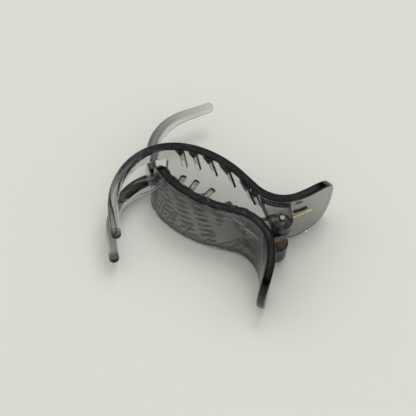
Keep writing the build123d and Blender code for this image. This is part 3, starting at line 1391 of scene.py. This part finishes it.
@dataclass(frozen=True)
class Shell:
    """One moulded shell of the clip."""

    side: Side
    skin: Skin

    def build(self, plastic: bpy.types.Material) -> bpy.types.Object:
        """Builds the shell and dresses it.

        Args:
            plastic: The shell's finish.

        Returns:
            The shell.
        """
        word = self.side.name.lower()
        form = ShellForm(self.side)
        piece = self.skin.build(f"{word}_shell_moulding", form.field, ShellPaintedShade(form).share, *form.box())
        dress(piece, word, f"{word}_shell", plastic)
        return piece


def tube_faces(rows: int, count: int, turned_over: bool) -> list[tuple[int, ...]]:
    """The faces of a closed tube.

    Args:
        rows: Number of rings.
        count: Number of points in each ring.
        turned_over: Whether each face runs the other way round.

    Returns:
        The points of each face: the sides, the first end and the last end.
    """
    faces = []
    for low in range(0, (rows - 1) * count, count):
        for step in range(count):
            after = (step + 1) % count
            ring = (low + step, low + after, low + count + after, low + count + step)
            faces.append((ring[0], ring[3], ring[2], ring[1]) if turned_over else ring)
    first = tuple(range(count))
    last = tuple((rows - 1) * count + step for step in range(count))
    faces.append(first if turned_over else first[::-1])
    faces.append(last[::-1] if turned_over else last)
    return faces


@dataclass(frozen=True)
class HingePin:
    """The pin through the four ears, with slightly crowned ends; lengths in millimetres."""

    hinge: Hinge = Hinge()
    bevel_steps: int = 5
    segments: int = 64
    flat_share: float = 0.35
    crown_share: float = 0.6
    crown_height: float = 0.02
    sharp_angle: float = 35.0

    def profile(self) -> list[Span]:
        """The pin's outline.

        Returns:
            Radius and level of each ring, from the lower end to the upper one.
        """
        radius = self.hinge.pin_diameter / 2.0
        end = self.hinge.half_height + self.hinge.pin_stand_out
        bevel = self.hinge.pin_bevel
        half = [(radius * self.flat_share, end), (radius * self.crown_share, end - self.crown_height)]
        for step in range(self.bevel_steps + 1):
            angle = math.pi / 2.0 * (1.0 - step / self.bevel_steps)
            level = end - bevel + bevel * math.sin(angle) - self.crown_height
            half.append((radius - bevel + bevel * math.cos(angle), level))
        return [(ring, -level) for ring, level in half] + half[::-1]

    def build(self, metal: bpy.types.Material) -> bpy.types.Object:
        """Turns the pin and dresses it.

        Args:
            metal: The pin's finish.

        Returns:
            The pin.
        """
        verts = []
        profile = self.profile()
        for radius, level in profile:
            for step in range(self.segments):
                angle = 2.0 * math.pi * step / self.segments
                place = Vector((radius * math.cos(angle), radius * math.sin(angle), level)) * MM
                verts.append(place + PIN)
        piece = add_mesh("hinge_pin_turned", verts, tube_faces(len(profile), self.segments, False))
        piece.data.set_sharp_from_angle(angle=math.radians(self.sharp_angle))
        dress(piece, "back", "hinge_pin", metal)
        return piece


@dataclass(frozen=True)
class Wire:
    """Round wire bent along a path, with slightly rounded ends."""

    radius: float
    sides: int = 16
    end_angles: tuple[float, ...] = (25.0, 50.0, 72.0)
    end_flatness: float = 0.5
    # Below this, the wire's underside gets painted shade.
    shade_below: float = -0.3

    def rings(self, path: list[Vector]) -> list[tuple[Vector, Vector, Vector, float]]:
        """The wire's rings from end to end.

        Args:
            path: Points of the wire's middle in millimetres.

        Returns:
            Middle, sideways direction, upward direction and radius of each ring.
        """
        last = len(path) - 1
        rings = []
        headings = []
        for index, point in enumerate(path):
            along = (path[min(index + 1, last)] - path[max(index - 1, 0)]).normalized()
            across = along.cross(Vector((0.0, 0.0, 1.0))).normalized()
            up = across.cross(along)
            rings.append((point, across, up, self.radius))
            headings.append(along)
        for index, sign in ((0, -1.0), (last, 1.0)):
            point, across, up, _ = rings[0 if sign < 0 else -1]
            caps = []
            for angle in self.end_angles:
                turn = math.radians(angle)
                out = headings[index] * sign * self.radius * self.end_flatness * math.sin(turn)
                caps.append((point + out, across, up, self.radius * math.cos(turn)))
            rings = caps[::-1] + rings if sign < 0 else rings + caps
        return rings

    def build(self, name: str, path: list[Vector], unshaded_from: int) -> bpy.types.Object:
        """Builds the wire.

        Args:
            name: The piece's name.
            path: Points of the wire's middle in millimetres from the pin's middle.
            unshaded_from: The point from which the wire's upper side has no painted shade; the turns before
                it and the wire's underside get painted shade.

        Returns:
            The new object.
        """
        verts = []
        wire_shade = []
        rings = self.rings(path)
        for row, (point, across, up, radius) in enumerate(rings):
            for step in range(self.sides):
                angle = 2.0 * math.pi * step / self.sides
                spoke = across * math.cos(angle) + up * math.sin(angle)
                verts.append((point + spoke * radius) * MM + PIN)
                # Painted shade on the coil's turns and on the wire's underside.
                wound = row < unshaded_from + len(self.end_angles)
                wire_shade.append(1.0 if wound or math.sin(angle) < self.shade_below else 0.0)
        return add_mesh(name, verts, tube_faces(len(rings), self.sides, True), wire_shade)


@dataclass(frozen=True)
class Spring:
    """The torsion spring: the coil with the back leg, and the last turn with the front leg."""

    plan: PlanCurve = PlanCurve()
    hinge: Hinge = Hinge()
    wall: float = ShellForm.wall
    steps_per_turn: int = 48
    leg_steps: int = 12
    last_turn: float = 0.94

    def leg_heading(self) -> float:
        """The line that touches the coil and the inner face of the handle.

        Returns:
            Its heading in radians.
        """
        valley_end = self.plan.grip()[0].length
        wire_radius = self.hinge.wire_diameter / 2.0
        headings = []
        for place, radius in ((0.0, self.plan.valley[0]), (valley_end, self.plan.handle[0])):
            x, y, heading = self.plan.point(place)
            centre_x = x - radius * math.sin(heading)
            centre_y = y + radius * math.cos(heading)
            apart = radius + self.wall / 2.0 + self.hinge.leg_clearance + wire_radius
            apart += self.hinge.coil_diameter / 2.0 - wire_radius
            share = apart / math.hypot(centre_x, centre_y)
            headings.append(math.atan2(centre_y, centre_x) - math.pi / 2.0 + math.acos(share))
        return min(headings)

    def leg(self, side: Side, level: float, length: float) -> list[Vector]:
        """Points along a leg, from where it touches the coil.

        Args:
            side: The shell that it lies on.
            level: The leg's level.
            length: Its length.

        Returns:
            The points, evenly spaced.
        """
        heading = self.leg_heading()
        radius = self.hinge.coil_radius()
        touch = Vector((-radius * math.sin(heading), side.value * radius * math.cos(heading), level))
        tip = touch + Vector((math.cos(heading), side.value * math.sin(heading), 0.0)) * length
        return [touch.lerp(tip, step / self.leg_steps) for step in range(self.leg_steps + 1)]

    def turns(self, side: Side, touch: Vector, far: float, count: float) -> list[Vector]:
        """Points of the turns that end where a leg touches the coil.

        Args:
            side: The shell that the leg lies on.
            touch: Where the leg touches the coil.
            far: Level of the turns' far end.
            count: Number of turns.

        Returns:
            The points, from the far end to just before the leg.
        """
        radius = self.hinge.coil_radius()
        start = math.atan2(touch.y, touch.x)
        total = int(self.steps_per_turn * count)
        points = []
        for step in range(total, 0, -1):
            share = step / total
            angle = start + side.value * 2.0 * math.pi * count * share
            level = touch.z + (far - touch.z) * share
            points.append(Vector((radius * math.cos(angle), radius * math.sin(angle), level)))
        return points

    def build(self, steel: bpy.types.Material) -> list[bpy.types.Object]:
        """Builds both pieces of the spring and dresses them.

        Args:
            steel: The spring's finish.

        Returns:
            The coil and the last turn, each with its leg.
        """
        wire = Wire(self.hinge.wire_diameter / 2.0)
        top = self.hinge.coil_half() - wire.radius
        low = -self.hinge.coil_half() + self.hinge.wire_diameter + self.hinge.turn_gap + wire.radius
        count = float(round((top - low) / self.hinge.wire_diameter))
        pieces = []
        for side, word, level, length, far, turns in (
            (Side.BACK, "coil", top, self.hinge.back_leg_length, low, count),
            (Side.FRONT, "leg", -top, self.hinge.front_leg_length, -top, self.last_turn),
        ):
            leg = self.leg(side, level, length)
            wound = self.turns(side, leg[0], far, turns)
            # Painted shade on the turns up to where the leg leaves the coil.
            piece = wire.build(f"spring_{word}_wire", wound + leg, len(wound))
            dress(piece, side.name.lower(), f"spring_{word}", steel)
            pieces.append(piece)
        return pieces


@dataclass(frozen=True)
class Studio:
    """The photograph's camera, the pale sheet and the soft light; lengths in metres."""

    azimuth: float = 21.91
    elevation: float = 60.39
    roll: float = 8.46
    distance: float = 0.7982
    focal_px: float = 2217.2
    image_px: float = 416.0
    px_size: float = 0.00036
    centre_px: Span = (70.54, 28.34)
    sensor_mm: float = 36.0
    nearest_seen: float = 0.01
    sheet_size: float = 3.0
    lamp_place: tuple[float, float, float] = (-0.04, 0.19, 0.9)
    lamp_size: float = 0.25
    lamp_power: float = 1.5
    overhead_axis: tuple[float, float, float] = (0.0, -0.1, 1.0)
    wall_top: float = 0.2
    overhead_from: float = 1.0
    wall_light: Colour = (0.02, 0.022, 0.025, 1.0)
    overhead_light: Colour = (1.34, 1.35, 1.36, 1.0)
    clear_bounces: int = 24
    glossy_bounces: int = 8

    def place_camera(self) -> None:
        """Puts the camera where the photograph was taken from."""
        azimuth = math.radians(self.azimuth)
        elevation = math.radians(self.elevation)
        roll = math.radians(self.roll)
        right = Vector((math.cos(azimuth), math.sin(azimuth), 0.0))
        level_forward = Vector((-math.sin(azimuth), math.cos(azimuth), 0.0))
        up = Vector((0.0, 0.0, 1.0))
        forward = level_forward * math.cos(elevation) - up * math.sin(elevation)
        down = -level_forward * math.sin(elevation) - up * math.cos(elevation)
        across = right * math.cos(roll) - down * math.sin(roll)
        along = right * math.sin(roll) + down * math.cos(roll)
        shift = across * self.centre_px[0] + along * self.centre_px[1]
        place = PIN - shift * self.px_size - forward * self.distance
        turn = Matrix((across, -along, -forward)).transposed()
        lens = bpy.data.cameras.new("photo_camera")
        lens.sensor_width = self.sensor_mm
        lens.lens = self.focal_px / self.image_px * lens.sensor_width
        lens.clip_start = self.nearest_seen
        camera = add_object("photo_camera", lens)
        camera.matrix_world = Matrix.Translation(place) @ turn.to_4x4()
        bpy.context.scene.camera = camera

    def lay_sheet(self, paper: bpy.types.Material) -> None:
        """Lays the pale sheet under the clip.

        Args:
            paper: The sheet's finish.
        """
        half = self.sheet_size / 2.0
        corners = [(-half, -half, 0.0), (half, -half, 0.0), (half, half, 0.0), (-half, half, 0.0)]
        mesh = bpy.data.meshes.new("pale_sheet")
        mesh.from_pydata(corners, [], [(0, 1, 2, 3)])
        mesh.materials.append(paper)
        add_object("pale_sheet", mesh)

    def hang_lamp(self) -> None:
        """Hangs a square soft lamp that faces the clip and isn't mirrored in it."""
        lamp = bpy.data.lights.new("ceiling_lamp", "AREA")
        lamp.size = self.lamp_size
        lamp.energy = self.lamp_power
        holder = add_object("ceiling_lamp", lamp)
        holder.location = self.lamp_place
        holder.rotation_mode = "QUATERNION"
        holder.rotation_quaternion = Vector(self.lamp_place).to_track_quat("Z", "Y")
        holder.visible_glossy = False

    def fill_room(self) -> None:
        """Sets the light of the room: dim at the walls and bright overhead."""
        world = bpy.data.worlds.new("room")
        world.use_nodes = True
        tree = world.node_tree
        backdrop = tree.nodes["Background"]
        backdrop.inputs["Strength"].default_value = 1.0
        where = add_node(tree, "ShaderNodeTexCoord")
        axis = {1: self.overhead_axis}
        toward = add_node(tree, "ShaderNodeVectorMath", axis, operation="DOT_PRODUCT")
        span = {"From Min": self.wall_top, "From Max": self.overhead_from}
        rise = add_node(tree, "ShaderNodeMapRange", span, interpolation_type="SMOOTHSTEP")
        lights = {"A": self.wall_light, "B": self.overhead_light}
        mix = add_node(tree, "ShaderNodeMix", lights, data_type="RGBA")
        tree.links.new(where.outputs["Generated"], toward.inputs[0])
        tree.links.new(toward.outputs["Value"], rise.inputs["Value"])
        tree.links.new(rise.outputs["Result"], mix.inputs["Factor"])
        tree.links.new(mix.outputs["Result"], backdrop.inputs["Color"])
        bpy.context.scene.world = world

    def set_up(self) -> None:
        """Sets the light, the sheet and the camera, and how far light is followed through the plastic."""
        self.lay_sheet(Paper().make())
        self.hang_lamp()
        self.fill_room()
        self.place_camera()
        scene = bpy.context.scene
        scene.view_settings.view_transform = "Standard"
        scene.cycles.max_bounces = self.clear_bounces
        scene.cycles.transmission_bounces = self.clear_bounces
        scene.cycles.glossy_bounces = self.glossy_bounces


def main() -> None:
    """Builds the clip piece by piece, dresses it and sets the studio."""
    logging.basicConfig(level=logging.INFO, format="%(name)s %(message)s")
    Studio().set_up()
    plastic = SmokyPlastic().make()
    pin_plating = PlatedMetal(
        name="pin_plating",
        base_roughness=0.3,
        haze=0.15,
        bright=(0.34, 0.32, 0.17, 1.0),
        worn_and_shaded=(0.1, 0.095, 0.055, 1.0),
    )
    spring_plating = PlatedMetal(
        name="spring_plating",
        base_roughness=0.4,
        bright=(1.0, 0.8, 0.45, 1.0),
        # The spring's worn colour also serves as painted shade on its coil and under its leg.
        worn_and_shaded=(0.1, 0.07, 0.035, 1.0),
    )
    skin = Skin(cell=FINE_CELL)
    for side in Side:
        Shell(side, skin).build(plastic)
    HingePin().build(pin_plating.make())
    Spring().build(spring_plating.make())


if __name__ == "__main__":
    main()
